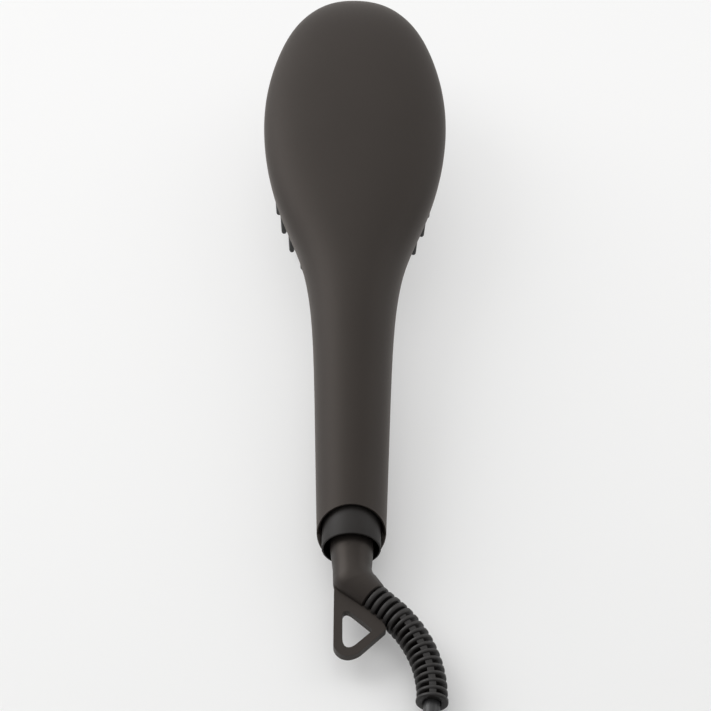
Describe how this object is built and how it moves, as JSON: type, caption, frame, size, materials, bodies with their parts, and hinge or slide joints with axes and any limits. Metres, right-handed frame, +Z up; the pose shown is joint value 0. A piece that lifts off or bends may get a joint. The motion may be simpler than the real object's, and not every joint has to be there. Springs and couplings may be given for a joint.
{
  "type": "heated styling brush",
  "caption": "Corded heated styling brush with a flat oval head, ringed guard pins, heated comb teeth, slim round handle, press buttons and a swivelling cord boot with a hanging loop.",
  "frame": {"origin": "on the table under the middle of the brush, boot included and mains lead left out", "axes": "+Y along the brush from the cord boot towards the head's nose, +Z up, back of the brush upwards"},
  "size_m": [0.1026, 0.5529, 0.0489],
  "materials": {
    "case_plastic": "soft-touch matte",
    "guard_nylon": "matte",
    "tip_plastic": "matte",
    "button_plastic": "satin",
    "window_plastic": "gloss",
    "plate_aluminium": "anodised, satin",
    "element_jacket": "mill",
    "insulation_film": "gloss",
    "steel": "zinc plated",
    "sensor_glass": "gloss",
    "cutoff_metal": "satin",
    "circuit_board": "satin",
    "switch_plastic": "satin",
    "display_plastic": "gloss",
    "collar_plastic": "matte",
    "inner_plastic": "satin",
    "contact_brass": "polished",
    "wire_sheath": "satin",
    "boot_plastic": "satin",
    "boot_rubber": "satin",
    "cord_jacket": "satin",
    "tie_strap": "satin",
    "plug_rubber": "satin",
    "pin_metal": "nickel plated"
  },
  "bodies": {
    "brush": {"back_shell": "case_plastic", "handle_cover": "case_plastic", "comb_base": "case_plastic", "guard_pins": "guard_nylon", "tooth_caps": "tip_plastic", "display_window": "window_plastic", "heater_plate": "plate_aluminium", "heated_teeth": "plate_aluminium", "heater_element": "element_jacket", "insulation_sheet": "insulation_film", "heater_clamp": "steel", "clamp_screws": "steel", "handle_screws": "steel", "comb_screws": "steel", "board_screws": "steel", "temperature_sensor": "sensor_glass", "thermal_cutoff": "cutoff_metal", "control_board": "circuit_board", "tact_switches": "switch_plastic", "display_module": "display_plastic", "swivel_collar": "collar_plastic", "contact_carrier": "inner_plastic", "contact_springs": "contact_brass", "supply_wires": "wire_sheath", "heater_wires": "wire_sheath", "cord_lead": "cord_jacket", "cord_coil": "cord_jacket", "cord_tail": "cord_jacket", "cord_tie": "tie_strap", "plug_body": "plug_rubber", "plug_pins": "pin_metal"},
    "swivel": {"swivel_neck": "boot_plastic", "strain_relief": "boot_rubber", "cord_core": "cord_jacket", "swivel_spindle": "inner_plastic", "swivel_clip": "steel", "slip_rings": "contact_brass"},
    "power_key": {"power_button": "button_plastic", "power_plunger": "switch_plastic"},
    "up_key": {"up_button": "button_plastic", "up_plunger": "switch_plastic"},
    "down_key": {"down_button": "button_plastic", "down_plunger": "switch_plastic"}
  },
  "joints": [
    {"name": "cord_swivel", "type": "hinge", "parent": "brush", "child": "swivel", "pos_m": [0, -0.10847, 0.01254], "axis": [0, -0.9957, -0.0929], "continuous": true},
    {"name": "power_press", "type": "slide", "parent": "brush", "child": "power_key", "axis": [0, -0.0929, 0.9957], "range_m": [0, 0.0006], "stiffness_N_per_m": 4000},
    {"name": "up_press", "type": "slide", "parent": "brush", "child": "up_key", "axis": [0, -0.0929, 0.9957], "range_m": [0, 0.0006], "stiffness_N_per_m": 4000},
    {"name": "down_press", "type": "slide", "parent": "brush", "child": "down_key", "axis": [0, -0.0929, 0.9957], "range_m": [0, 0.0006], "stiffness_N_per_m": 4000}
  ]
}
